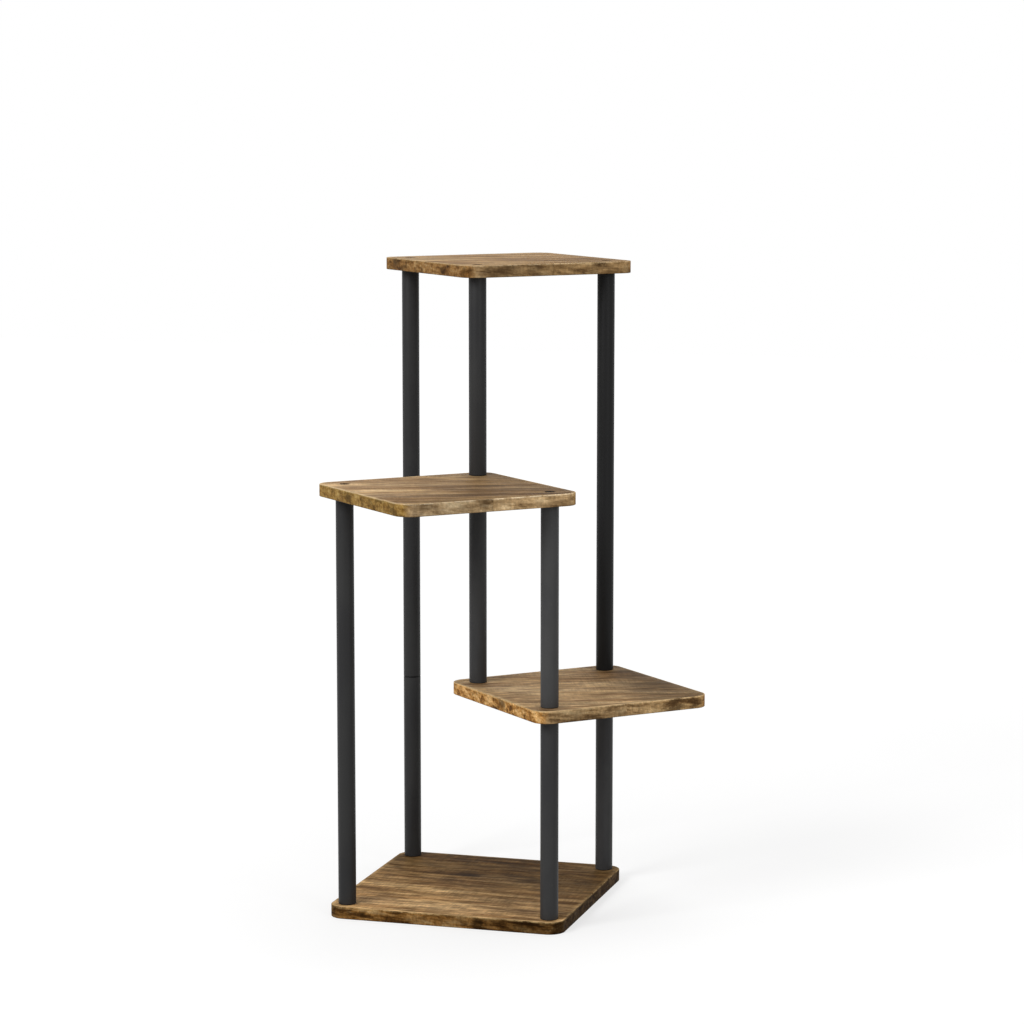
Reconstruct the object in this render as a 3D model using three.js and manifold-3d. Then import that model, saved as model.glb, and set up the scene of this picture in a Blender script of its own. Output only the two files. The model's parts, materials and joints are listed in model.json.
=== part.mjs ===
// A tiered plant stand: a square base board, four corner posts and a centre post, and three smaller
// square shelves that climb round the centre post like the blades of a pinwheel.
// Millimetres, +Z up. The origin is the middle of the base board's underside.
// The front is -Y and the lowest of the three shelves is on the right, +X.

import * as THREE from "three";
import { mergeVertices } from "three/addons/utils/BufferGeometryUtils.js";
import Module from "manifold-3d";

const wasm = await Module();
wasm.setup();

// ---- Driving dimensions ----

const postPitch = 260; // between the axes of neighbouring corner posts
const tierClearance = 247; // clear height between one board and the next
const spliceHeight = 240; // length of the lower tube of the back left post

const boardThickness = 15;
const boardCornerRadius = 20;
const baseMargin = 20; // from a corner post's axis to the base board's edge
const shelfMargin = 28; // from a post's axis to a shelf's edge

const bandThickness = 1; // edge banding round each board
const bandArris = 0.5; // chamfer along the banding's top and bottom edges
const bandSeam = 0.3; // where the banding's two ends meet
const glueLine = 0.2; // between a board's core and its banding

const tubeDiameter = 22;
const tubeWall = 1.2;
const tubeEndChamfer = 0.4;

const plugLength = 16; // threaded plug in each end of a tube
const plugRecess = 0.5; // from the tube's end to the plug's face
const plugLeadIn = 1; // chamfer at both ends of the plug's thread

const threadDiameter = 6;
const threadEngagement = 12; // how far a bolt or stud reaches into a plug
const threadPointChamfer = 0.8;

const headDiameter = 11.5; // countersunk head of a bolt
const headRim = 0.6; // straight rim of the head, above its cone
const headConeAngle = 90;
const headRecess = 0.4; // how far the head sits below the board's surface
const hexSocket = 4; // across the flats
const hexSocketDepth = 2.2;

const plugClearance = 0.2; // radial, between a plug and its tube
const threadClearance = 0.2; // radial, between a thread and its plug
const holeClearance = 0.5; // radial, between a thread and the board it passes through
const headClearance = 0.3; // radial, between a head and its countersink

const cutterOverrun = 1; // how far a cutting solid runs past the faces that it cuts
const facets = { tube: 24, plug: 16, thread: 12, hole: 16, head: 16, corner: 6 };
const hexSides = 6;

// ---- Derived sizes ----

const shelfTurn = Math.PI / 4;
const shelfPitch = postPitch * Math.cos(shelfTurn); // between the holes along a shelf's edge
const baseSide = postPitch + 2 * baseMargin;
const shelfSide = shelfPitch + 2 * shelfMargin;
const tierRise = tierClearance + boardThickness;
const twoTiers = tierClearance + tierRise; // clear height from one board to the next but one

const tubeRadius = tubeDiameter / 2;
const tubeBore = tubeRadius - tubeWall;
const plugRadius = tubeBore - plugClearance;
const threadRadius = threadDiameter / 2;
const plugBore = threadRadius + threadClearance;
const holeRadius = threadRadius + holeClearance;
const headRadius = headDiameter / 2;

const coneSlope = Math.tan(THREE.MathUtils.degToRad(headConeAngle / 2));
const headDepth = headRim + (headRadius - threadRadius) / coneSlope;
const sinkRadius = headRadius + headClearance;
const sinkRim = headRecess + headRim;
const sinkDepth = sinkRim + (sinkRadius - holeRadius) / coneSlope;

const half = postPitch / 2;
const corners = {
  front_left: [-half, -half],
  front_right: [half, -half],
  back_right: [half, half],
  back_left: [-half, half],
  centre: [0, 0],
};

// ---- Materials ----

function finish(color, roughness, metalness) {
  return new THREE.MeshStandardMaterial({ color, roughness, metalness });
}
const woodPrint = () => finish(0x8a715a, 0.6, 0);
const bandPrint = () => finish(0x7d6047, 0.6, 0);
const blackPowderCoat = () => finish(0x333231, 0.45, 0.2);
const zincSteel = () => finish(0xa9adb0, 0.35, 1);
const blackSteel = () => finish(0x1f1f20, 0.4, 0.8);

// ---- Joining and cutting ----

function toSolid(geometry) {
  const bare = geometry.clone();
  bare.deleteAttribute("normal");
  bare.deleteAttribute("uv");
  const merged = mergeVertices(bare, 1e-4);
  return new wasm.Manifold(
    new wasm.Mesh({
      numProp: 3,
      vertProperties: merged.getAttribute("position").array,
      triVerts: new Uint32Array(merged.index.array),
    }),
  );
}

function toGeometry(solid) {
  const { vertProperties, triVerts } = solid.getMesh();
  const geometry = new THREE.BufferGeometry();
  geometry.setAttribute("position", new THREE.BufferAttribute(vertProperties, 3));
  geometry.setIndex(new THREE.BufferAttribute(triVerts, 1));
  geometry.computeVertexNormals();
  return geometry;
}

function cutAll(geometry, cutters) {
  return toGeometry(cutters.reduce((solid, cutter) => solid.subtract(toSolid(cutter)), toSolid(geometry)));
}

// A solid of revolution about Z, from [radius, height] pairs.
function revolve(profile, segments) {
  const points = profile.map(([radius, height]) => new THREE.Vector2(radius, height));
  return new THREE.LatheGeometry(points, segments).rotateX(Math.PI / 2);
}

function roundedSquare(side, radius) {
  const reach = side / 2;
  const flat = reach - radius;
  const shape = new THREE.Shape();
  shape.moveTo(-flat, -reach);
  shape.lineTo(flat, -reach);
  shape.absarc(flat, -flat, radius, -Math.PI / 2, 0, false);
  shape.lineTo(reach, flat);
  shape.absarc(flat, flat, radius, 0, Math.PI / 2, false);
  shape.lineTo(-flat, reach);
  shape.absarc(-flat, flat, radius, Math.PI / 2, Math.PI, false);
  shape.lineTo(-reach, -flat);
  shape.absarc(-flat, -flat, radius, Math.PI, (3 * Math.PI) / 2, false);
  return shape;
}

// ---- Sub-parts, each in its own frame ----

// A through hole for a thread, with a countersink from above, from below or not at all.
function boltHole([x, y], sink) {
  const low = -cutterOverrun;
  const high = boardThickness + cutterOverrun;
  const shank = [[0, low], [holeRadius, low], [holeRadius, high], [0, high]];
  const cutters = [revolve(shank, facets.hole).translate(x, y, 0)];
  if (sink) {
    const cone = [
      [0, low],
      [sinkRadius, low],
      [sinkRadius, sinkRim],
      [holeRadius, sinkDepth],
      [0, sinkDepth],
    ];
    const pocket = revolve(cone, facets.hole);
    if (sink === "above") pocket.rotateX(Math.PI).translate(0, 0, boardThickness);
    cutters.push(pocket.translate(x, y, 0));
  }
  return cutters;
}

function boardCore(side, holes) {
  const inset = bandThickness + glueLine;
  const outline = roundedSquare(side - 2 * inset, boardCornerRadius - inset);
  const slab = new THREE.ExtrudeGeometry(outline, {
    depth: boardThickness,
    bevelEnabled: false,
    curveSegments: facets.corner,
  });
  return cutAll(slab, holes.flatMap(({ at, sink }) => boltHole(at, sink)));
}

// A strip of banding round a board, chamfered outside, with its seam in the middle of the +X side.
function edgeBand(side) {
  const straight = boardThickness - 2 * bandArris;
  const block = new THREE.ExtrudeGeometry(roundedSquare(side, boardCornerRadius), {
    depth: straight,
    bevelThickness: bandArris,
    bevelSize: bandArris,
    bevelOffset: -bandArris,
    bevelSegments: 1,
    curveSegments: facets.corner,
  }).translate(0, 0, bandArris);
  const cutHeight = boardThickness + 2 * cutterOverrun;
  const inner = roundedSquare(side - 2 * bandThickness, boardCornerRadius - bandThickness);
  const opening = new THREE.ExtrudeGeometry(inner, {
    depth: cutHeight,
    bevelEnabled: false,
    curveSegments: facets.corner,
  }).translate(0, 0, -cutterOverrun);
  const seam = new THREE.BoxGeometry(2 * (bandThickness + cutterOverrun), bandSeam, cutHeight);
  seam.translate(side / 2, 0, boardThickness / 2);
  return cutAll(block, [opening, seam]);
}

function tube(length) {
  const top = length - tubeEndChamfer;
  const shoulder = tubeRadius - tubeEndChamfer;
  return revolve(
    [
      [tubeBore, 0],
      [shoulder, 0],
      [tubeRadius, tubeEndChamfer],
      [tubeRadius, top],
      [shoulder, length],
      [tubeBore, length],
      [tubeBore, 0],
    ],
    facets.tube,
  );
}

function threadedPlug() {
  const mouth = plugBore + plugLeadIn;
  return revolve(
    [
      [mouth, 0],
      [plugRadius, 0],
      [plugRadius, plugLength],
      [mouth, plugLength],
      [plugBore, plugLength - plugLeadIn],
      [plugBore, plugLeadIn],
      [mouth, 0],
    ],
    facets.plug,
  );
}

// A flat head bolt, head down with its face at 0, its thread pointing up.
function flatHeadBolt() {
  const reach = boardThickness - headRecess + plugRecess + threadEngagement;
  const blank = revolve(
    [
      [0, 0],
      [headRadius, 0],
      [headRadius, headRim],
      [threadRadius, headDepth],
      [threadRadius, reach - threadPointChamfer],
      [threadRadius - threadPointChamfer, reach],
      [0, reach],
    ],
    facets.head,
  );
  const socketRadius = hexSocket / Math.sqrt(3);
  const socket = new THREE.CylinderGeometry(socketRadius, socketRadius, 2 * hexSocketDepth, hexSides);
  return cutAll(blank, [socket.rotateX(Math.PI / 2)]);
}

// The length of a stud that crosses a gap between two tubes.
function studLength(gap) {
  return gap + 2 * (plugRecess + threadEngagement);
}

// A double ended stud across such a gap, from its lower tip at 0.
function stud(gap) {
  const length = studLength(gap);
  const tip = threadRadius - threadPointChamfer;
  return revolve(
    [
      [0, 0],
      [tip, 0],
      [threadRadius, threadPointChamfer],
      [threadRadius, length - threadPointChamfer],
      [tip, length],
      [0, length],
    ],
    facets.thread,
  );
}

// ---- Assembly ----

const plantStand = new THREE.Group();

function place(parent, name, geometry, material, [x, y], z) {
  const mesh = new THREE.Mesh(geometry, material);
  mesh.name = name;
  mesh.position.set(x, y, z);
  parent.add(mesh);
  return mesh;
}

// A board with its banding. Its centre is given in plan, its turn about Z, and its underside's height.
// Fixings name the posts that it meets, and the side that a countersunk head goes in from.
function addBoard({ name, side, centre, turn, underside, fixings }) {
  const group = new THREE.Group();
  group.position.set(centre[0], centre[1], underside);
  group.rotation.z = turn;
  plantStand.add(group);
  const holes = Object.entries(fixings).map(([corner, sink]) => {
    const [x, y] = corners[corner];
    const local = new THREE.Vector2(x - centre[0], y - centre[1]).rotateAround(new THREE.Vector2(), -turn);
    return { at: [local.x, local.y], sink };
  });
  place(group, name, boardCore(side, holes), woodPrint(), [0, 0], 0);
  place(group, name + "_edge_band", edgeBand(side), bandPrint(), [0, 0], 0);
  for (const [corner, sink] of Object.entries(fixings)) addFixing(name, corner, sink, underside);
}

// The bolt or stud that holds a post to a board.
function addFixing(board, corner, sink, underside) {
  if (!sink) {
    const z = underside - plugRecess - threadEngagement;
    place(plantStand, board + "_stud_" + corner, stud(boardThickness), zincSteel(), corners[corner], z);
    return;
  }
  const above = sink === "above";
  const z = above ? underside + boardThickness - headRecess : underside + headRecess;
  const name = board + "_bolt_" + corner;
  const bolt = place(plantStand, name, flatHeadBolt(), blackSteel(), corners[corner], z);
  if (above) bolt.rotation.x = Math.PI;
}

// A tube of a post, with a threaded plug in each end.
function addTube(corner, part, foot, length) {
  const name = ["post", corner, part].filter(Boolean).join("_");
  place(plantStand, name, tube(length), blackPowderCoat(), corners[corner], foot);
  place(plantStand, name + "_bottom_plug", threadedPlug(), zincSteel(), corners[corner], foot + plugRecess);
  const topPlug = foot + length - plugRecess - plugLength;
  place(plantStand, name + "_top_plug", threadedPlug(), zincSteel(), corners[corner], topPlug);
}

const floorOf = (tier) => tier * tierRise; // underside of a tier's board
const topOf = (tier) => floorOf(tier) + boardThickness;

addBoard({
  name: "base_board",
  side: baseSide,
  centre: [0, 0],
  turn: 0,
  underside: floorOf(0),
  fixings: { front_left: "below", front_right: "below", back_right: "below", back_left: "below" },
});
addBoard({
  name: "lower_shelf",
  side: shelfSide,
  centre: [half, 0],
  turn: -shelfTurn,
  underside: floorOf(1),
  fixings: { centre: "below", front_right: null, back_right: null },
});
addBoard({
  name: "middle_shelf",
  side: shelfSide,
  centre: [0, -half],
  turn: -shelfTurn,
  underside: floorOf(2),
  fixings: { centre: null, front_left: "above", front_right: "above" },
});
addBoard({
  name: "top_shelf",
  side: shelfSide,
  centre: [0, half],
  turn: -shelfTurn,
  underside: floorOf(3),
  fixings: { centre: "above", back_right: "above", back_left: "above" },
});

addTube("front_left", "", topOf(0), twoTiers);
addTube("front_right", "lower", topOf(0), tierClearance);
addTube("front_right", "upper", topOf(1), tierClearance);
addTube("back_right", "lower", topOf(0), tierClearance);
addTube("back_right", "upper", topOf(1), twoTiers);
addTube("centre", "lower", topOf(1), tierClearance);
addTube("centre", "upper", topOf(2), tierClearance);

// The back left post passes all the shelves but the top one, so it is spliced part way up.
const spliceZ = topOf(0) + spliceHeight;
addTube("back_left", "lower", topOf(0), spliceHeight);
addTube("back_left", "upper", spliceZ, floorOf(3) - spliceZ);
place(
  plantStand,
  "post_back_left_splice_stud",
  stud(0),
  zincSteel(),
  corners.back_left,
  spliceZ - studLength(0) / 2,
);

export default plantStand;
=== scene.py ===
"""Looks of the tiered plant stand: wood-print boards with banded edges on satin black tubes.

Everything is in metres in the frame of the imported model, +Z up, with the front at -Y.
"""
import json
import math

import bpy
from mathutils import Matrix, Vector


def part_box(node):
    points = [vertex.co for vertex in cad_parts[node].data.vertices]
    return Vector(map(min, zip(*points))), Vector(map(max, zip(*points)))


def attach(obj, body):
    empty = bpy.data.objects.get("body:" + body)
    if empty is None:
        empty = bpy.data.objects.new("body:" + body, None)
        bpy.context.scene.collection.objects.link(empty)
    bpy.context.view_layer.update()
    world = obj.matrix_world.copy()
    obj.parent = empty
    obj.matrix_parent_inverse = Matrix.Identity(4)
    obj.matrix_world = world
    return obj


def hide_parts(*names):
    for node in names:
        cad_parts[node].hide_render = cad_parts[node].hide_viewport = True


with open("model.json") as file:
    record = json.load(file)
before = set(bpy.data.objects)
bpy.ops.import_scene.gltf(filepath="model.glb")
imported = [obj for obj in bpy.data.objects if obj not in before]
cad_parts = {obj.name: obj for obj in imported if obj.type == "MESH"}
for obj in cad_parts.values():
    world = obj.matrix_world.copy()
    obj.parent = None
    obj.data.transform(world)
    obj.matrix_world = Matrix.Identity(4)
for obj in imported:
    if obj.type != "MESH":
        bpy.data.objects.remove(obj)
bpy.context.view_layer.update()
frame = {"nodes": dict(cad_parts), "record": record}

SLOT_OF = {part["node"]: part["material_slot"] for part in frame["record"]["subparts"]}

# ---- Sizes that the frame doesn't say ----

BOARDS = ("base_board", "lower_shelf", "middle_shelf", "top_shelf")
SHELF_TURN = math.radians(45)
SHELF_GRAIN = math.radians(22)
CORNER_RADIUS = 0.020
BAND_THICKNESS = 0.001
BAND_ARRIS = 0.0007
BAND_SEAM = 0.00025
PANEL_ARRIS = 0.00012
TUBE_WALL = 0.0012
TUBE_END_ROUND = 0.0010
# How far the painted shade at a tube's ends reaches.
TUBE_END_SHADE = 0.0013
THREAD_RADIUS = 0.003
HEAD_RIM = 0.0006
HOLE_CLEARANCE = 0.0005
HEAD_CLEARANCE = 0.0003
# How far the painted shade round a countersink reaches.
COUNTERSINK_SHADE_REACH = 0.0085
CUTTER_PAST = 0.001
BOLT_TIP_RADIUS = 0.00225
HEX_SOCKET = 0.004
HEX_SOCKET_DEPTH = 0.0022
THREAD_PITCH = 0.001

CORNER_STEPS = 20
ARRIS_STEPS = 4
TUBE_SEGMENTS = 72
BOLT_SEGMENTS = 40
HEX_SIDES = 6
SHARP_ANGLE = math.radians(35)


# ---- Mesh helpers ----

def add_object(name, mesh):
    mesh.polygons.foreach_set("use_smooth", [True] * len(mesh.polygons))
    mesh.set_sharp_from_angle(angle=SHARP_ANGLE)
    piece = bpy.data.objects.new(name, mesh)
    bpy.context.scene.collection.objects.link(piece)
    return piece


def mesh_of(name, points, faces):
    mesh = bpy.data.meshes.new(name)
    mesh.from_pydata([tuple(p) for p in points], [], faces)
    mesh.validate()
    mesh.update()
    return mesh


def revolve(name, profile, segments, centre):
    """A closed solid of revolution about Z through centre, from (radius, height) pairs, bottom to top.

    A profile that doesn't start on the axis closes on itself as a ring.
    """
    solid = profile[0][0] == 0
    rim = profile[1:-1] if solid else profile
    points = []
    for radius, height in rim:
        for k in range(segments):
            a = 2 * math.pi * k / segments
            points.append(Vector((radius * math.cos(a), radius * math.sin(a), height)) + centre)
    faces = []
    rings = len(rim)
    for i in range(rings - 1 if solid else rings):
        j = (i + 1) % rings
        for k in range(segments):
            m = (k + 1) % segments
            faces.append((i * segments + k, i * segments + m, j * segments + m, j * segments + k))
    if solid:
        faces.append(tuple(reversed(range(segments))))
        faces.append(tuple((rings - 1) * segments + k for k in range(segments)))
    return mesh_of(name, points, faces)


def fillet(corner, radius, start, steps):
    """Points of a quarter circle about corner, from the angle start, as (radius, height) pairs."""
    angles = [start + math.pi / 2 * k / steps for k in range(steps + 1)]
    return [(corner[0] + radius * math.cos(a), corner[1] + radius * math.sin(a)) for a in angles]


def carve(piece, cutter_meshes):
    """Cuts each closed mesh out of the piece."""
    for mesh in cutter_meshes:
        cutter = bpy.data.objects.new("cutter", mesh)
        bpy.context.scene.collection.objects.link(cutter)
        cut = piece.modifiers.new("cut", "BOOLEAN")
        cut.operation = "DIFFERENCE"
        cut.solver = "EXACT"
        cut.object = cutter
        bpy.context.view_layer.update()
        evaluated = piece.evaluated_get(bpy.context.evaluated_depsgraph_get())
        carved = bpy.data.meshes.new_from_object(evaluated)
        piece.modifiers.remove(cut)
        piece.data = carved
        bpy.data.objects.remove(cutter)
    piece.data.polygons.foreach_set("use_smooth", [True] * len(piece.data.polygons))
    piece.data.set_sharp_from_angle(angle=SHARP_ANGLE)


def stand_for(piece, node, material):
    """The piece takes the place of a CAD node, on the stand's one body."""
    piece.data.materials.clear()
    piece.data.materials.append(material)
    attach(piece, "root")
    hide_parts(node)


# ---- Boards ----

def axis_of(node):
    """The place in plan of a node's middle, as a vector without height."""
    low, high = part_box(node)
    return Vector(((low.x + high.x) / 2, (low.y + high.y) / 2, 0))


def turn_of(board):
    return 0.0 if board == "base_board" else -SHELF_TURN


def board_frame(name):
    """A board's turn, side, thickness and underside, measured on its edge band, where its centre is in
    coordinates turned with it, and the axes of the bolts through it.
    """
    turn = turn_of(name)
    unturn = Matrix.Rotation(-turn, 4, "Z")
    points = [unturn @ v.co for v in frame["nodes"][name + "_edge_band"].data.vertices]
    low = Vector(map(min, *points))
    high = Vector(map(max, *points))
    middle = (low + high) / 2
    return {
        "turn": turn,
        "side": high.x - low.x,
        "thickness": high.z - low.z,
        "low": low.z,
        "centre": (-middle.x, -middle.y, 0),
        "heads": [axis_of(node) for node in sorted(SLOT_OF) if node.startswith(name + "_bolt_")],
        "place": unturn.inverted() @ Matrix.Translation((middle.x, middle.y, low.z)),
    }


def outline(side, inset, gap=0.0):
    """Points round a board, inset from its edge, from the middle of the +X side and back to it.

    With a gap the two ends stop short of each other, and without one the outline closes.
    """
    reach = side / 2 - inset
    radius = CORNER_RADIUS - inset
    centre = side / 2 - CORNER_RADIUS
    points = [Vector((reach, gap / 2))] if gap else []
    for quarter in range(4):
        start = quarter * math.pi / 2
        cx = centre * (1 if quarter in (0, 3) else -1)
        cy = centre * (1 if quarter in (0, 1) else -1)
        for k in range(CORNER_STEPS + 1):
            a = start + math.pi / 2 * k / CORNER_STEPS
            points.append(Vector((cx + radius * math.cos(a), cy + radius * math.sin(a))))
    if gap:
        points.append(Vector((reach, -gap / 2)))
    return points


def arris_section(inset, height, radius):
    """(inset, height) pairs from the bottom to the top of an edge with rounded arrises."""
    steps = range(ARRIS_STEPS + 1)
    quarter = [math.pi / 2 * k / ARRIS_STEPS for k in steps]
    low = [(inset + radius * (1 - math.sin(a)), radius * (1 - math.cos(a))) for a in quarter]
    return low + [(i, height - z) for i, z in reversed(low)]


def panel_mesh(name, side, thickness):
    rings = arris_section(BAND_THICKNESS, thickness, PANEL_ARRIS)
    points = []
    for inset, z in rings:
        points += [Vector((p.x, p.y, z)) for p in outline(side, inset)]
    count = len(points) // len(rings)
    faces = []
    for i in range(len(rings) - 1):
        for k in range(count):
            m = (k + 1) % count
            faces.append((i * count + k, i * count + m, (i + 1) * count + m, (i + 1) * count + k))
    faces.append(tuple(reversed(range(count))))
    faces.append(tuple((len(rings) - 1) * count + k for k in range(count)))
    return mesh_of(name, points, faces)


def band_mesh(name, side, thickness):
    section = arris_section(0, thickness, BAND_ARRIS)
    section = [(BAND_THICKNESS, 0)] + section + [(BAND_THICKNESS, thickness)]
    runs = [outline(side, inset, BAND_SEAM) for inset, _ in section]
    points = []
    for run, (_, z) in zip(runs, section):
        points += [Vector((p.x, p.y, z)) for p in run]
    count = len(runs[0])
    rows = len(section)
    faces = []
    for i in range(rows):
        j = (i + 1) % rows
        for k in range(count - 1):
            faces.append((i * count + k, i * count + k + 1, j * count + k + 1, j * count + k))
    faces.append(tuple(reversed([i * count + count - 1 for i in range(rows)])))
    faces.append(tuple(i * count for i in range(rows)))
    return mesh_of(name, points, faces)


def drill_profile(board_low, board_high):
    """A plain hole right through a board."""
    hole = THREAD_RADIUS + HOLE_CLEARANCE
    low = board_low - CUTTER_PAST
    high = board_high + CUTTER_PAST
    return [(0, low), (hole, low), (hole, high), (0, high)]


def sink_profile(bolt, board_low, board_high):
    """A countersink on the side that a bolt's head is on, sized by the bolt's own box."""
    low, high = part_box(bolt)
    hole = THREAD_RADIUS + HOLE_CLEARANCE
    sink = (high.x - low.x) / 2 + HEAD_CLEARANCE
    depth = sink - hole
    if high.z < board_high:
        rim = high.z - HEAD_RIM
        past = board_high + CUTTER_PAST
        return [(0, rim - depth), (hole, rim - depth), (sink, rim), (sink, past), (0, past)]
    rim = low.z + HEAD_RIM
    past = board_low - CUTTER_PAST
    return [(0, past), (sink, past), (sink, rim), (hole, rim + depth), (0, rim + depth)]


def hole_cutters(name, low, high):
    """Closed meshes of all holes and countersinks in a board."""
    profiles = []
    for node in sorted(SLOT_OF):
        if node.startswith(name + "_bolt_"):
            profiles.append((node, drill_profile(low, high)))
            profiles.append((node, sink_profile(node, low, high)))
        if node.startswith(name + "_stud_"):
            profiles.append((node, drill_profile(low, high)))
    return [revolve("hole", profile, BOLT_SEGMENTS, axis_of(node)) for node, profile in profiles]


def dress_board(name, board, face_material, band_material):
    low = board["low"]
    high = low + board["thickness"]
    panel = panel_mesh(name + "_panel", board["side"], board["thickness"])
    panel.transform(board["place"])
    piece = add_object(name + "_panel", panel)
    carve(piece, hole_cutters(name, low, high))
    stand_for(piece, name, face_material)
    band = band_mesh(name + "_banding", board["side"], board["thickness"])
    band.transform(board["place"])
    stand_for(add_object(name + "_banding", band), name + "_edge_band", band_material)


# ---- Tubes and bolts ----

def dress_tube(node, material):
    low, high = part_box(node)
    radius = (high.x - low.x) / 2
    bore = radius - TUBE_WALL
    bend = TUBE_END_ROUND
    foot = fillet((radius - bend, low.z + bend), bend, -math.pi / 2, ARRIS_STEPS)
    head = fillet((radius - bend, high.z - bend), bend, 0, ARRIS_STEPS)
    profile = [(bore, low.z)] + foot + head + [(bore, high.z)]
    mesh = revolve(node + "_coated", profile, TUBE_SEGMENTS, axis_of(node))
    stand_for(add_object(node + "_coated", mesh), node, material)


def dress_bolt(node, material):
    """A flat head bolt with a hex socket. Its head is at the end away from its tube."""
    low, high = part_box(node)
    board_low, board_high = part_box(node.split("_bolt_")[0])
    above = high.z < board_high.z
    length = high.z - low.z
    radius = (high.x - low.x) / 2
    chamfer = HEAD_RIM / 3
    cone = HEAD_RIM + radius - THREAD_RADIUS
    profile = [
        (0, 0),
        (radius - chamfer, 0),
        (radius, chamfer),
        (radius, HEAD_RIM),
        (THREAD_RADIUS, cone),
        (THREAD_RADIUS, length - (THREAD_RADIUS - BOLT_TIP_RADIUS)),
        (BOLT_TIP_RADIUS, length),
        (0, length),
    ]
    mesh = revolve(node + "_steel", profile, BOLT_SEGMENTS, Vector())
    piece = add_object(node + "_steel", mesh)
    corner = HEX_SOCKET / math.sqrt(3)
    depth = HEX_SOCKET_DEPTH
    socket = [(0, -depth), (corner, -depth), (corner, depth), (0, depth)]
    carve(piece, [revolve("socket", socket, HEX_SIDES, Vector())])
    flip = Matrix.Rotation(math.pi, 4, "X") if above else Matrix.Identity(4)
    seat = axis_of(node) + Vector((0, 0, high.z if above else low.z))
    piece.data.transform(Matrix.Translation(seat) @ flip)
    stand_for(piece, node, material)


# ---- Materials ----

def srgb(red, green, blue):
    """Linear colour of an 8-bit screen colour."""
    def linear(value):
        c = value / 255
        return c / 12.92 if c <= 0.04045 else ((c + 0.055) / 1.055) ** 2.4
    return (linear(red), linear(green), linear(blue), 1.0)


def feed(tree, socket, value):
    """Links an output to an input socket, or sets a plain value on it."""
    if isinstance(value, bpy.types.NodeSocket):
        tree.links.new(value, socket)
    else:
        socket.default_value = value


def add_node(tree, kind, inputs, **settings):
    """A new node with its settings, fed with outputs and plain values."""
    node = tree.nodes.new(kind)
    for key, value in settings.items():
        setattr(node, key, value)
    for key, value in inputs.items():
        feed(tree, node.inputs[key], value)
    return node


class Finish:
    """A Principled material, and short calls that add nodes to it."""

    def __init__(self, name):
        self.material = bpy.data.materials.new(name)
        self.material.use_nodes = True
        self.tree = self.material.node_tree
        self.shader = self.tree.nodes["Principled BSDF"]

    def node(self, kind, inputs, **settings):
        return add_node(self.tree, kind, inputs, **settings)

    def shade(self, **inputs):
        for key, value in inputs.items():
            feed(self.tree, self.shader.inputs[key.replace("_", " ")], value)

    def math(self, operation, a, b=0.0, c=0.0):
        return self.node("ShaderNodeMath", {0: a, 1: b, 2: c}, operation=operation).outputs[0]

    def place(self, turn=0.0, shift=(0, 0, 0)):
        """Coordinates in metres on the object, turned about Z and shifted."""
        here = self.node("ShaderNodeTexCoord", {}).outputs["Object"]
        turned = self.node("ShaderNodeMapping", {"Vector": here, "Rotation": (0, 0, -turn)})
        return self.node("ShaderNodeMapping", {"Vector": turned.outputs[0], "Location": shift}).outputs[0]

    def noise(self, vector, scale, detail, roughness):
        """Noise whose features are 1/scale metres long on each axis."""
        stretched = self.node("ShaderNodeMapping", {"Vector": vector, "Scale": scale}).outputs[0]
        inputs = {"Vector": stretched, "Scale": 1.0, "Detail": detail, "Roughness": roughness}
        return self.node("ShaderNodeTexNoise", inputs).outputs["Fac"]

    def distance(self, a, b):
        return self.node("ShaderNodeVectorMath", {0: a, 1: b}, operation="DISTANCE").outputs["Value"]

    def step(self, value, low, high, to_low=0.0, to_high=1.0):
        """A smooth step of the value, from low to high."""
        inputs = {"Value": value, "From Min": low, "From Max": high, "To Min": to_low, "To Max": to_high}
        return self.node("ShaderNodeMapRange", inputs, interpolation_type="SMOOTHSTEP").outputs["Result"]

    def mix(self, factor, a, b, blend="MIX"):
        node = self.node("ShaderNodeMix", {}, data_type="RGBA", blend_type=blend)
        for socket, value in zip((node.inputs[0], node.inputs[6], node.inputs[7]), (factor, a, b)):
            feed(self.tree, socket, value)
        return node.outputs[2]

    def ramp(self, value, tone, *stops):
        """A smooth run through the named tones, each at its own value."""
        color = tone[stops[0][0]]
        for (_, low), (key, high) in zip(stops, stops[1:]):
            color = self.mix(self.step(value, low, high), color, tone[key])
        return color

    def bump(self, height, distance, strength=1.0):
        inputs = {"Height": height, "Distance": distance, "Strength": strength}
        return self.node("ShaderNodeBump", inputs).outputs["Normal"]


def warped(finish, place, amount):
    """Coordinates pushed about by a slow noise, so that the grain wanders."""
    slow = finish.noise(place, *WANDER_NOISE)
    push = finish.math("MULTIPLY_ADD", slow, 2 * amount, -amount)
    shift = finish.node("ShaderNodeCombineXYZ", {"X": 0.0, "Y": push, "Z": push}).outputs[0]
    return finish.node("ShaderNodeVectorMath", {0: place, 1: shift}, operation="ADD").outputs[0]


def knots(finish, place, scale, share):
    """A mask of small dark knots, drawn out along the grain, on a share of the cells."""
    stretched = finish.node("ShaderNodeMapping", {"Vector": place, "Scale": scale}).outputs[0]
    cells = finish.node("ShaderNodeTexVoronoi", {"Vector": stretched, "Scale": 1.0})
    near = finish.step(cells.outputs["Distance"], *KNOT_SPAN, 1.0, 0.0)
    pick = finish.node("ShaderNodeSeparateColor", {"Color": cells.outputs["Color"]}).outputs[0]
    chosen = finish.step(pick, 1 - share, 1 - share + KNOT_PICK)
    return finish.math("MULTIPLY", near, chosen)


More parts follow.
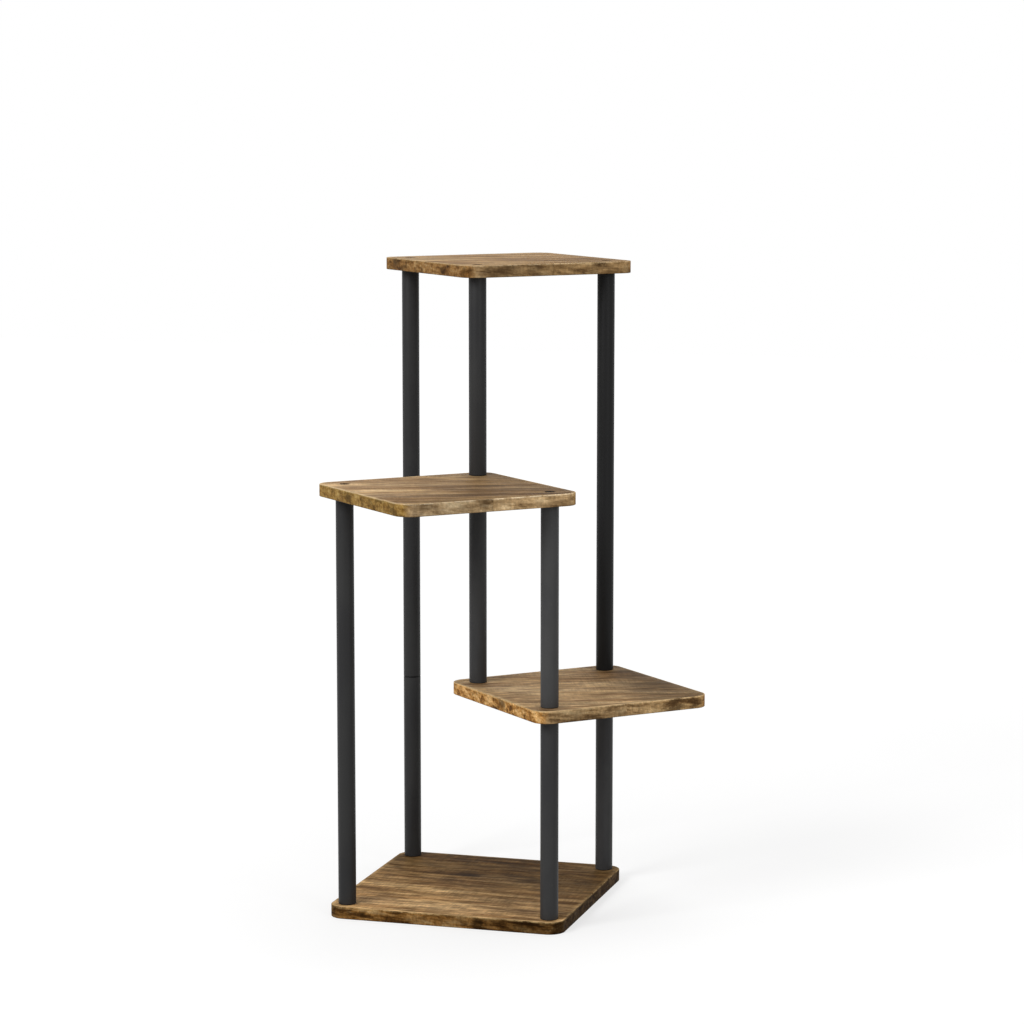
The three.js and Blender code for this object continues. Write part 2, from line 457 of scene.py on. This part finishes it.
def edge_distance(finish, place_node, side):
    """Distance from the board's edge, negative inside, in the board's own frame."""
    parts = finish.node("ShaderNodeSeparateXYZ", {"Vector": place_node}).outputs
    centre = side / 2 - CORNER_RADIUS
    x, y = (finish.math("SUBTRACT", finish.math("ABSOLUTE", parts[k]), centre) for k in (0, 1))
    out_x, out_y = (finish.math("MAXIMUM", v, 0.0) for v in (x, y))
    squares = finish.math("MULTIPLY_ADD", out_x, out_x, finish.math("MULTIPLY", out_y, out_y))
    inside = finish.math("MINIMUM", finish.math("MAXIMUM", x, y), 0.0)
    return finish.math("SUBTRACT", finish.math("ADD", finish.math("SQRT", squares), inside), CORNER_RADIUS)


def toned(finish, value, tone, stops, spread=1.0):
    """A run through the tones dark, brown, tan and pale, with the stops drawn together by the spread."""
    steps = [0.5 + (stop - 0.5) / spread for stop in stops]
    return finish.ramp(value, tone, *zip(("dark", "brown", "tan", "pale"), steps))


def layered(finish, color, noises, layers, tone):
    """The colour under layers of tones, each where its noise goes from one value to another."""
    for key, start, full, share, tone_key in layers:
        color = finish.mix(finish.step(noises[key], start, full, 0.0, share), color, tone[tone_key])
    return color


def varied(finish, color, noises, changes, spread):
    """The colour, darker where each noise is low and paler where it is high, by shares times the spread."""
    for key, low, high, darker, paler in changes:
        level = finish.step(noises[key], low, high, 1 - darker * spread, 1 + paler * spread)
        color = scaled(finish, color, level)
    return color


def spotted(finish, color, noises, grain, cells, flecked, tone):
    """The colour with small knots, which the flecks break up."""
    mask = finish.math("MULTIPLY", knots(finish, grain, *cells), finish.step(noises["flecks"], *flecked))
    return finish.mix(mask, color, tone)


# Noises of the print on a board's face and on its banding, each with its scale on the three axes, detail
# and roughness. The grain ones follow the wandering grain, and the grit ones don't.
WANDER_NOISE = ((5, 16, 16), 2.0, 0.5)
FACE_GRAIN = {
    "patches": ((6, 38, 38), 5.0, 0.62),
    "grey": ((3, 15, 15), 3.0, 0.5),
    "streaks": ((6, 105, 105), 5.0, 0.68),
    "fine": ((4, 480, 420), 4.0, 0.6),
    "smudges": ((16, 62, 62), 4.0, 0.6),
    "mottle": ((26, 95, 80), 4.0, 0.65),
}
FACE_GRIT = {
    "flecks": ((90, 480, 480), 4.0, 0.7),
    "saw": ((320, 30, 30), 4.0, 0.65),
}
BAND_GRAIN = {
    "patches": ((20, 70, 110), 4.0, 0.62),
    "streaks": ((22, 160, 190), 4.0, 0.65),
    "mottle": ((80, 75, 150), 4.0, 0.70),
    "comb": ((30, 260, 60), 3.0, 0.6),
    "blotches": ((30, 46, 60), 4.0, 0.60),
}
BAND_GRIT = {
    "flecks": ((260, 330, 300), 4.0, 0.7),
    "saw": ((300, 300, 90), 4.0, 0.65),
}

# How far the grain wanders, in metres, and how far the banding's print drifts, in metres per radian.
FACE_WANDER = 0.010
BAND_WANDER = 0.005
SEAM_DRIFT = 0.012

# The noise values at which the print is dark, brown, tan and pale.
FACE_STOPS = (0.32, 0.44, 0.55, 0.67)
ALONG_STOPS = (0.34, 0.45, 0.55, 0.68)
ACROSS_STOPS = (0.32, 0.44, 0.53, 0.66)

# Layers: a noise, the values at which the layer starts and is full, how much it covers, and its tone.
FACE_LAYERS = (
    ("grey", 0.50, 0.66, 0.45, "grey"),
    ("streaks", 0.48, 0.30, 0.60, "dark"),
    ("streaks", 0.52, 0.68, 0.60, "pale"),
    ("smudges", 0.55, 0.70, 0.75, "dark"),
    ("fine", 0.47, 0.34, 0.60, "line"),
    ("fine", 0.54, 0.66, 0.35, "pale"),
)
ALONG_LAYERS = (
    ("streaks", 0.50, 0.32, 0.55, "dark"),
    ("streaks", 0.52, 0.68, 0.50, "pale"),
)
ACROSS_LAYERS = (
    ("comb", 0.50, 0.32, 0.28, "dark"),
    ("comb", 0.52, 0.68, 0.28, "pale"),
)

# Changes of brightness: a noise, its low and high value, and the shares that are lost and gained there.
FACE_CHANGES = (
    ("mottle", 0.40, 0.60, 0.20, 0.16),
    ("flecks", 0.35, 0.65, 0.14, 0.12),
)
BAND_CHANGES = (
    ("saw", 0.38, 0.62, 0.10, 0.08),
    ("flecks", 0.35, 0.65, 0.17, 0.13),
)

# Small knots: the scale of their cells on each axis, and the share of the cells that have one. Then the
# values of the flecks from which a knot shows and at which it is full.
FACE_KNOTS = ((10, 30, 30), 0.16)
FACE_KNOT_FLECKS = (0.30, 0.55)
BAND_KNOTS = ((18, 26, 34), 0.26)
BAND_KNOT_FLECKS = (0.30, 0.52)

# A small knot's distances from the middle of its cell, where it is full and where it ends, and how softly
# its cell is picked.
KNOT_SPAN = (0.04, 0.36)
KNOT_PICK = 0.05

# A large knot, in shares of its reach: how far the mottle moves its rim, and where it is full. Then its
# cover, and what the flecks leave of it.
KNOT_RAGGED = 1.2
KNOT_FULL = 0.25
KNOT_COVER = 0.80
KNOT_FLECKS = (0.36, 0.52, 0.40, 1.0)

# Saw marks: the noise values at which they are dark and pale, their change of brightness there, and the
# values of the smudges between which they fade to a share.
SAW_MARKS = (0.38, 0.62, -0.11, 0.09)
SAW_FADES = (0.40, 0.58)
SAW_FADED = 0.25

# The rub along a face's edge: the distances from the edge at which it starts and is full.
RUB_REACH = (-0.0070, -0.001)

# The banding's painted shade along its lower arris, and its upper arris, paler partly as worn print and
# partly as a painted highlight: where each ends and where it is full, in arris radii from the edge. Then how
# much the painted shade covers.
LOWER_ARRIS_SHADE = (1.8, 0.3)
WORN_AND_HIGHLIGHT_ARRIS = (2.8, 0.5)
LOWER_ARRIS_SHADE_COVER = 0.55

# How far the banding's normal lies along the grain where the banding starts to cross the grain, and where
# it fully does.
CROSSING = (0.30, 0.80)

# Dark blotches on the banding: how much they cover along the grain and across it, and how much of the print
# shows through them.
BLOTCH_ALONG = 0.50
BLOTCH_ACROSS = 0.95
BLOTCH_CLEAR = 0.20

# Steps of a noise: the values that it goes from and to, and what the step gives there, which is 0 and 1
# where nothing else is said.
BLOTCHES = (0.52, 0.64)
BLOTCH_FLECKS = (0.34, 0.52, 0.35, 0.85)
FACE_RUBBED = (0.36, 0.54, 0.0, 0.75)
BAND_WEAR_AND_HIGHLIGHT = (0.60, 0.44, 0.10, 0.80)
FACE_ROUGHNESS = (0.3, 0.7, 0.72, 0.58)
BAND_ROUGHNESS = (0.35, 0.65, 0.58, 0.70)

# Relief: the shares of the streaks and of the fine grain in the face's, and the height in metres and the
# strength of the bumps.
STREAK_RELIEF = 0.4
FINE_RELIEF = 0.6
FACE_BUMP = (0.00022, 0.55)
BAND_BUMP = (0.0002, 0.5)

# Print under painted shade keeps a share of its brightness, and of that these parts of red, green and blue.
PAINTED_SHADE_TINT = (1.0, 0.93, 0.80)

# The painted shade round a countersink: where it is full, as a share of its reach, and its cover.
COUNTERSINK_SHADE_FULL = 0.6
COUNTERSINK_SHADE_COVER = 0.9


def noises_on(finish, grain, place, grain_noises, grit_noises):
    found = {key: finish.noise(grain, *settings) for key, settings in grain_noises.items()}
    found.update({key: finish.noise(place, *settings) for key, settings in grit_noises.items()})
    return found


def wood_print(name, look, board):
    """Brown board print with wandering grain along its own X, grey and tan patches, streaks and knots, and
    with fine saw marks across the grain that fade here and there. It is rubbed paler along the edge. Painted
    shade darkens it round the countersinks and towards one side.
    """
    finish = Finish(name)
    spread = look["contrast"]
    tone = shaded(*look["face"])
    place = finish.place(look["grain"], look["face_shift"])
    grain = warped(finish, place, FACE_WANDER)
    noises = noises_on(finish, grain, place, FACE_GRAIN, FACE_GRIT)
    smudges = noises["smudges"]

    color = toned(finish, noises["patches"], tone, FACE_STOPS)
    color = layered(finish, color, noises, FACE_LAYERS, tone)
    color = spotted(finish, color, noises, grain, FACE_KNOTS, FACE_KNOT_FLECKS, tone["knot"])
    inset = edge_distance(finish, finish.place(board["turn"], board["centre"]), board["side"])
    rubbed = finish.step(smudges, *FACE_RUBBED)
    rub = finish.math("MULTIPLY", finish.step(inset, *RUB_REACH), rubbed)
    color = finish.mix(rub, color, tone["rubbed"])
    # Painted shade round each countersink, in the knot's tone.
    for axis in board["heads"]:
        color = finish.mix(countersink_shade_mask(finish, axis), color, tone["knot"])
    # Painted shade: the face turns darker and warmer towards one side.
    color = with_painted_shade(finish, color, look["face_painted_shade"])
    sawn = finish.step(smudges, *SAW_FADES, spread, SAW_FADED * spread)
    marks = finish.step(noises["saw"], *SAW_MARKS)
    color = scaled(finish, color, finish.math("MULTIPLY_ADD", marks, sawn, 1.0))
    color = varied(finish, color, noises, FACE_CHANGES, spread)

    rough = finish.step(noises["streaks"], *FACE_ROUGHNESS)
    coarse = finish.math("MULTIPLY", noises["streaks"], STREAK_RELIEF)
    relief = finish.math("MULTIPLY_ADD", noises["fine"], FINE_RELIEF, coarse)
    finish.shade(Base_Color=color, Roughness=rough, Normal=finish.bump(relief, *FACE_BUMP))
    finish.shader.inputs["Specular IOR Level"].default_value = look["gloss"]
    return finish.material


def band_print(name, look, board):
    """Banding with the same print, streaked where it runs with the board's grain and mottled where it
    crosses it. Its upper arris is paler in places, partly worn print and partly a painted highlight, its
    lower one has painted shade, and painted shade darkens it towards one side.
    """
    finish = Finish(name)
    spread = look["contrast"]
    along = shaded(*look["along"])
    across = shaded(*look["across"])
    around = way_round(finish, board)
    place = unrolled(finish, look, around)
    grain = warped(finish, place, BAND_WANDER)
    noises = noises_on(finish, grain, place, BAND_GRAIN, BAND_GRIT)
    mottle = noises["mottle"]
    flecks = noises["flecks"]

    run = toned(finish, noises["patches"], along, ALONG_STOPS, spread)
    run = layered(finish, run, noises, ALONG_LAYERS, along)
    end = toned(finish, mottle, across, ACROSS_STOPS, spread)
    end = layered(finish, end, noises, ACROSS_LAYERS, across)
    normal = facing(finish, look["band_grain"])
    normal_x = finish.node("ShaderNodeSeparateXYZ", {"Vector": normal}).outputs["X"]
    crossing = finish.step(finish.math("ABSOLUTE", normal_x), *CROSSING)
    color = finish.mix(crossing, run, end)

    dark = finish.mix(crossing, along["knot"], across["knot"])
    blotched = finish.step(noises["blotches"], *BLOTCHES)
    blotched = finish.math("MULTIPLY", blotched, finish.step(flecks, *BLOTCH_FLECKS))
    cover = finish.math("MULTIPLY_ADD", crossing, BLOTCH_ACROSS - BLOTCH_ALONG, BLOTCH_ALONG)
    blotched = finish.math("MULTIPLY", blotched, cover)
    color = finish.mix(blotched, color, finish.mix(BLOTCH_CLEAR, dark, color))
    color = spotted(finish, color, noises, grain, BAND_KNOTS, BAND_KNOT_FLECKS, dark)
    for x, y, rise, reach in look["knots"]:
        centre = (x, y, board["low"] + rise)
        color = finish.mix(knot_at(finish, centre, reach, flecks, mottle), color, dark)

    height = finish.node("ShaderNodeSeparateXYZ", {"Vector": finish.place()}).outputs["Z"]
    up = finish.math("SUBTRACT", height, board["low"])
    # Painted shade along the lower arris.
    foot = finish.step(up, *(BAND_ARRIS * radii for radii in LOWER_ARRIS_SHADE), 0.0, LOWER_ARRIS_SHADE_COVER)
    top = finish.step(up, *(board["thickness"] - BAND_ARRIS * radii for radii in WORN_AND_HIGHLIGHT_ARRIS))
    color = finish.mix(foot, color, dark)
    # Painted shade: the banding turns darker and warmer towards one side.
    color = with_painted_shade(finish, color, look["band_painted_shade"])
    # The upper arris paler in places: partly worn print, partly a painted highlight.
    rub = finish.math("MULTIPLY", top, finish.step(mottle, *BAND_WEAR_AND_HIGHLIGHT))
    color = finish.mix(rub, color, finish.mix(crossing, along["rubbed"], across["rubbed"]))
    drift = look["drift"]
    color = scaled(finish, color, finish.step(around, -math.pi, math.pi, 1 + drift, 1 - drift))
    color = varied(finish, color, noises, BAND_CHANGES, spread)

    rough = finish.step(noises["blotches"], *BAND_ROUGHNESS)
    finish.shade(Base_Color=color, Roughness=rough, Normal=finish.bump(noises["comb"], *BAND_BUMP))
    finish.shader.inputs["Specular IOR Level"].default_value = look["gloss"]
    return finish.material


def way_round(finish, board):
    """The way round the board, from pi to -pi, with the banding's seam where these two meet."""
    place = finish.place(board["turn"], board["centre"])
    own = finish.node("ShaderNodeSeparateXYZ", {"Vector": place}).outputs
    back = [finish.math("MULTIPLY", own[key], -1.0) for key in ("Y", "X")]
    return finish.math("ARCTAN2", *back)


def unrolled(finish, look, around):
    """Print coordinates that drift on the way round, so that the print breaks at the seam."""
    drift = finish.math("MULTIPLY", around, SEAM_DRIFT)
    shift = finish.node("ShaderNodeCombineXYZ", {"X": drift, "Y": drift, "Z": drift}).outputs[0]
    place = finish.place(look["band_grain"], look["band_shift"])
    return finish.node("ShaderNodeVectorMath", {0: place, 1: shift}, operation="ADD").outputs[0]


def knot_at(finish, centre, reach, flecks, mottle):
    """A mask of one mottled dark knot with a ragged rim."""
    away = finish.distance(finish.place(), centre)
    moved = KNOT_RAGGED * reach
    ragged = finish.math("MULTIPLY_ADD", mottle, -2 * moved, finish.math("ADD", away, moved))
    near = finish.step(ragged, reach, KNOT_FULL * reach, 0.0, KNOT_COVER)
    return finish.math("MULTIPLY", near, finish.step(flecks, *KNOT_FLECKS))


def countersink_shade_mask(finish, axis):
    """A mask of the painted shade round a countersink."""
    in_plan = {0: finish.place(), 1: (1, 1, 0)}
    flat = finish.node("ShaderNodeVectorMath", in_plan, operation="MULTIPLY").outputs[0]
    full = COUNTERSINK_SHADE_FULL * COUNTERSINK_SHADE_REACH
    return finish.step(finish.distance(flat, axis), COUNTERSINK_SHADE_REACH, full, 0.0, COUNTERSINK_SHADE_COVER)


def with_painted_shade(finish, color, painted_shade_span):
    """The colour under painted shade, darker and warmer between two places along a heading, an (x, y) pair.
    """
    start, end, share, heading = painted_shade_span
    toward = {0: finish.place(), 1: (*heading, 0)}
    along = finish.node("ShaderNodeVectorMath", toward, operation="DOT_PRODUCT").outputs["Value"]
    kept = (*(share * part for part in PAINTED_SHADE_TINT), 1.0)
    in_painted_shade = finish.mix(1.0, color, kept, "MULTIPLY")
    return finish.mix(finish.step(along, start, end), color, in_painted_shade)


def scaled(finish, color, level):
    """The colour times a level of brightness."""
    factors = finish.node("ShaderNodeCombineColor", {0: level, 1: level, 2: level}).outputs[0]
    return finish.mix(1.0, color, factors, "MULTIPLY")


def facing(finish, turn):
    """The surface's normal, in the board's own turned frame."""
    normal = finish.node("ShaderNodeNewGeometry", {}).outputs["Normal"]
    return finish.node("ShaderNodeMapping", {"Vector": normal, "Rotation": (0, 0, -turn)}).outputs[0]


def powder_coat(node, share):
    """Satin black powder coat: fine orange peel, faint clouds and a little dust, with painted shade at the
    tube's ends.
    """
    finish = Finish(node + "_coat")
    place = finish.place()
    peel = finish.noise(place, (900, 900, 900), 2.0, 0.5)
    cloud = finish.noise(place, (24, 24, 9), 3.0, 0.55)
    dust = finish.noise(place, (420, 420, 260), 4.0, 0.7)
    # The share paints light and shade onto this tube's coat, paler or deeper than the usual coat.
    tone = shaded(COAT_TONE, share)
    color = finish.mix(finish.step(cloud, 0.35, 0.65), tone["dark"], tone["pale"])
    color = finish.mix(finish.step(dust, 0.60, 0.78, 0.0, 0.25), color, tone["dust"])
    # Painted shade at the tube's ends, where they meet a board or the next tube.
    low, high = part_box(node)
    height = finish.node("ShaderNodeSeparateXYZ", {"Vector": place}).outputs["Z"]
    from_foot = finish.math("SUBTRACT", height, low.z)
    from_end = finish.math("MINIMUM", from_foot, finish.math("SUBTRACT", high.z, height))
    ends = finish.step(from_end, TUBE_END_SHADE, 0.3 * TUBE_END_SHADE, 0.0, 0.9)
    color = finish.mix(ends, color, tone["end"])
    rough = finish.step(cloud, 0.3, 0.7, 0.42, 0.52)
    finish.shade(Base_Color=color, Roughness=rough, Normal=finish.bump(peel, 0.00006, 0.5))
    finish.shader.inputs["Specular IOR Level"].default_value = 0.14
    return finish.material


def black_steel():
    """Black oxide screw: dark, a little worn on its rim."""
    finish = Finish("black_oxide_steel")
    wear = finish.noise(finish.place(), (900, 900, 900), 4.0, 0.65)
    color = finish.mix(finish.step(wear, 0.58, 0.75, 0.0, 0.4), srgb(12, 11, 10), srgb(40, 36, 32))
    rough = finish.step(wear, 0.35, 0.7, 0.60, 0.45)
    finish.shade(Base_Color=color, Roughness=rough, Normal=finish.bump(wear, 0.00004, 0.4))
    finish.shader.inputs["Specular IOR Level"].default_value = 0.02
    return finish.material


def zinc_steel():
    """Zinc plated steel with a spangled haze and the ridges of a fine thread."""
    finish = Finish("zinc_plated_steel")
    place = finish.place()
    haze = finish.noise(place, (300, 300, 300), 4.0, 0.6)
    height = finish.node("ShaderNodeSeparateXYZ", {"Vector": place}).outputs["Z"]
    ridge = finish.math("PINGPONG", height, THREAD_PITCH / 2)
    color = finish.mix(finish.step(haze, 0.35, 0.65), srgb(168, 172, 176), srgb(198, 200, 202))
    rough = finish.step(haze, 0.3, 0.7, 0.30, 0.45)
    finish.shade(Base_Color=color, Roughness=rough, Normal=finish.bump(ridge, 1.0, 0.4))
    finish.shader.inputs["Metallic"].default_value = 1.0
    return finish.material


FACE_TONE = {
    "dark": (106, 78, 49),
    "brown": (146, 114, 77),
    "tan": (180, 147, 104),
    "pale": (212, 181, 137),
    "grey": (142, 121, 96),
    "line": (90, 64, 38),
    "knot": (60, 41, 22),
    "rubbed": (216, 186, 140),
}
GREY_EDGE_TONE = {
    "dark": (108, 84, 56),
    "brown": (154, 126, 90),
    "tan": (188, 158, 118),
    "pale": (218, 192, 152),
    "knot": (70, 50, 28),
    "rubbed": (224, 198, 158),
}
GOLD_TONE = {
    "dark": (100, 73, 30),
    "brown": (158, 118, 54),
    "tan": (192, 150, 78),
    "pale": (220, 184, 112),
    "knot": (60, 42, 14),
    "rubbed": (224, 190, 124),
}
RUSSET_TONE = {
    "dark": (96, 62, 26),
    "brown": (160, 112, 55),
    "tan": (198, 147, 84),
    "pale": (226, 184, 124),
    "knot": (50, 32, 10),
    "rubbed": (226, 188, 130),
}
COAT_TONE = {
    "dark": (43, 43, 44),
    "pale": (50, 50, 50),
    "dust": (80, 78, 75),
    # The tone of the painted shade at the tube's ends.
    "end": (8, 8, 8),
}


def shaded(tone, share, warmth=0.0):
    """The tones as linear colours, each times the share and turned warmer, or greyer below 0."""
    tint = (share, share * (1 - 0.04 * warmth), share * (1 - 0.12 * warmth))
    return {key: srgb(*(c * t for c, t in zip(color, tint))) for key, color in tone.items()}


# ---- Dress the stand ----

# Each board is cut from another part of the print, so its face and its banding have shifts of their own.
# The face, and the banding along the grain and across it, have tones, a share of their brightness and a
# warmth. The contrast spreads the print's light and dark, the drift is how far the banding's tone changes on
# its way round, and the gloss is the specular level. Painted shade darkens face and banding to a share of
# their brightness between two places along a heading. The banding has knots at (x, y, rise over the
# underside) with a reach.
BOARD_LOOK = {
    "base_board": {
        "grain": 0.0,
        "band_grain": 0.0,
        "face_shift": (0.424, 0.070, 0.38),
        "band_shift": (0.31, 0.07, 0.40),
        "face": (FACE_TONE, 1.13, 0.6),
        "along": (RUSSET_TONE, 0.81),
        # The base's banding across the grain is dark, partly its print and partly painted shade.
        "across": (RUSSET_TONE, 0.58),
        "contrast": 1.6,
        "drift": 0.10,
        "gloss": 0.03,
        "face_painted_shade": (-0.15, 0.08, 0.27, (0.3, 1.0)),
        "band_painted_shade": (-0.01, 0.11, 0.36, (1.0, 0.0)),
        "knots": ((-0.104, -0.150, 0.008, 0.006), (0.044, -0.150, 0.008, 0.012)),
    },
    "lower_shelf": {
        "grain": SHELF_GRAIN,
        "band_grain": SHELF_TURN,
        "face_shift": (1.70, 0.55, 0.10),
        "band_shift": (1.70, 0.55, 0.10),
        "face": (FACE_TONE, 1.02, 0.0),
        "along": (GREY_EDGE_TONE, 0.98, 0.8),
        "across": (RUSSET_TONE, 1.08),
        "contrast": 1.3,
        "drift": 0.12,
        "gloss": 0.08,
        "face_painted_shade": (0.14, 0.25, 0.38, (1.0, 0.6)),
        "band_painted_shade": (0.20, 0.29, 0.85, (1.0, 0.0)),
        "knots": (
            (0.262, -0.038, 0.007, 0.018),
            (0.283, -0.017, 0.008, 0.010),
            (0.060, -0.100, 0.012, 0.012),
        ),
    },
    "middle_shelf": {
        "grain": SHELF_GRAIN,
        "band_grain": SHELF_TURN,
        "face_shift": (4.83, 1.23, 0.19),
        "band_shift": (2.90, 1.30, 0.20),
        "face": (FACE_TONE, 1.03, 0.0),
        "along": (GREY_EDGE_TONE, 1.06, -0.6),
        "across": (GOLD_TONE, 0.86),
        "contrast": 1.0,
        "drift": 0.20,
        "gloss": 0.10,
        "face_painted_shade": (-0.08, 0.05, 0.48, (1.0, 0.0)),
        "band_painted_shade": (-0.10, 0.10, 1.0, (1.0, 0.0)),
        "knots": (
            (-0.094, -0.196, 0.009, 0.008),
            (-0.045, -0.245, 0.014, 0.007),
            (-0.030, -0.260, 0.013, 0.006),
        ),
    },
    "top_shelf": {
        "grain": SHELF_GRAIN,
        "band_grain": SHELF_TURN,
        "face_shift": (7.00, 1.99, 0.28),
        "band_shift": (4.20, 2.10, 0.30),
        "face": (FACE_TONE, 0.94, 0.3),
        "along": (GREY_EDGE_TONE, 0.92, 0.3),
        "across": (RUSSET_TONE, 0.79),
        "contrast": 1.1,
        "drift": 0.12,
        "gloss": 0.08,
        "face_painted_shade": (-0.05, 0.14, 0.70, (1.0, 0.0)),
        "band_painted_shade": (-0.10, 0.10, 1.0, (1.0, 0.0)),
        "knots": ((-0.140, 0.100, 0.012, 0.012),),
    },
}

for name in BOARDS:
    board = board_frame(name)
    face = wood_print(name + "_print", BOARD_LOOK[name], board)
    edge = band_print(name + "_band_print", BOARD_LOOK[name], board)
    dress_board(name, board, face, edge)

# Painted light and shade: the coat is painted paler on some tubes, for more light and reflection, and
# deeper on one, for shade. The numbers are shares of its usual brightness.
COAT_LIGHT_AND_SHADE_SHARE = {
    "post_front_right_upper": 1.44,
    "post_front_right_lower": 1.18,
    "post_centre_lower": 1.24,
    "post_back_right_lower": 1.32,
    "post_back_right_upper": 0.55,
}
oxide = black_steel()
zinc = zinc_steel()
for node, slot in sorted(SLOT_OF.items()):
    if slot == "black_tube":
        dress_tube(node, powder_coat(node, COAT_LIGHT_AND_SHADE_SHARE.get(node, 1.0)))
    elif slot == "black_bolt":
        dress_bolt(node, oxide)
    elif slot == "zinc_steel":
        carried = frame["nodes"][node]
        carried.data.materials.clear()
        carried.data.materials.append(zinc)


# ---- Floor, world, lights and camera ----

# The floor's glow makes up for the lamps' light, which falls off away from the stand.
FLOOR_GLOW = {"From Min": 0.3, "From Max": 4.5, "To Min": 0.66, "To Max": 0.86}
FLOOR_TONE = (0.36, 0.36, 0.36, 1)
FLOOR_REACH = 8.0
FLOOR_DROP = 0.0002
AMBIENT = 0.48
STAND_MIDDLE = (0, 0, 0.4)
SOFTBOXES = {  # place, side and power
    "key_softbox": ((-1.7, -3.0, 2.6), 1.5, 90),
    "fill_softbox": ((2.8, -2.4, 1.5), 1.4, 20),
    "top_softbox": ((0.2, 0.6, 3.2), 1.8, 24),
}
CAMERA_PLACE = (1.1553, -3.7652, 1.0225)
CAMERA_HEADING = math.radians(16.438)
CAMERA_PITCH = math.radians(7.663)
CAMERA_LENS = 111.99
CAMERA_SENSOR = 36.0


def add_seen(tree):
    """1 for camera, glossy and transmission rays, else 0."""
    rays = add_node(tree, "ShaderNodeLightPath", {}).outputs
    total = rays["Is Camera Ray"]
    for name in ("Is Glossy Ray", "Is Transmission Ray"):
        total = add_node(tree, "ShaderNodeMath", {0: total, 1: rays[name]}, operation="MAXIMUM").outputs[0]
    return total


def paper_floor():
    """A pale floor that shows white to the camera, keeps soft shadows, and is clear from below."""
    material = bpy.data.materials.new("paper_floor")
    material.use_nodes = True
    tree = material.node_tree
    tree.nodes.clear()
    here = add_node(tree, "ShaderNodeTexCoord", {}).outputs["Object"]
    away = add_node(tree, "ShaderNodeVectorMath", {0: here}, operation="LENGTH").outputs["Value"]
    rise = add_node(tree, "ShaderNodeMapRange", {"Value": away, **FLOOR_GLOW}).outputs["Result"]
    level = add_node(tree, "ShaderNodeMath", {0: add_seen(tree), 1: rise}, operation="MULTIPLY").outputs[0]
    glow = add_node(tree, "ShaderNodeEmission", {"Strength": level}).outputs[0]
    diffuse = add_node(tree, "ShaderNodeBsdfDiffuse", {"Color": FLOOR_TONE}).outputs[0]
    lit = add_node(tree, "ShaderNodeAddShader", {0: diffuse, 1: glow}).outputs[0]
    clear = add_node(tree, "ShaderNodeBsdfTransparent", {}).outputs[0]
    below = add_node(tree, "ShaderNodeNewGeometry", {}).outputs["Backfacing"]
    shown = add_node(tree, "ShaderNodeMixShader", {0: below, 1: lit, 2: clear}).outputs[0]
    add_node(tree, "ShaderNodeOutputMaterial", {"Surface": shown})
    return material


def add_floor():
    reach = FLOOR_REACH
    corners = [(-reach, -reach), (reach, -reach), (reach, reach), (-reach, reach)]
    mesh = mesh_of("floor", [Vector((x, y, -FLOOR_DROP)) for x, y in corners], [(0, 1, 2, 3)])
    mesh.materials.append(paper_floor())
    floor = bpy.data.objects.new("floor", mesh)
    bpy.context.scene.collection.objects.link(floor)


def add_world():
    """White where it is seen, and a plain ambient level where it lights the stand."""
    world = bpy.data.worlds.new("studio")
    bpy.context.scene.world = world
    world.use_nodes = True
    tree = world.node_tree
    levels = {"Value": add_seen(tree), "To Min": AMBIENT, "To Max": 1.0}
    level = add_node(tree, "ShaderNodeMapRange", levels).outputs["Result"]
    background = tree.nodes["Background"]
    background.inputs["Color"].default_value = (1, 1, 1, 1)
    tree.links.new(level, background.inputs["Strength"])


def add_softbox(name, place, side, power):
    """A square lamp that faces the stand."""
    data = bpy.data.lights.new(name, "AREA")
    data.shape = "RECTANGLE"
    data.size = side
    data.size_y = side
    data.energy = power
    lamp = bpy.data.objects.new(name, data)
    lamp.location = place
    lamp.rotation_euler = (Vector(STAND_MIDDLE) - Vector(place)).to_track_quat("-Z", "Y").to_euler()
    bpy.context.scene.collection.objects.link(lamp)


def add_camera():
    """The photograph's view, from the front and a little to the right, looking slightly down."""
    data = bpy.data.cameras.new("camera")
    data.sensor_width = CAMERA_SENSOR
    data.lens = CAMERA_LENS
    camera = bpy.data.objects.new("camera", data)
    camera.location = CAMERA_PLACE
    camera.rotation_euler = (math.pi / 2 - CAMERA_PITCH, 0, CAMERA_HEADING)
    bpy.context.scene.collection.objects.link(camera)
    bpy.context.scene.camera = camera


add_floor()
add_world()
for name, (place, side, power) in SOFTBOXES.items():
    add_softbox(name, place, side, power)
add_camera()
bpy.context.scene.view_settings.view_transform = "Standard"
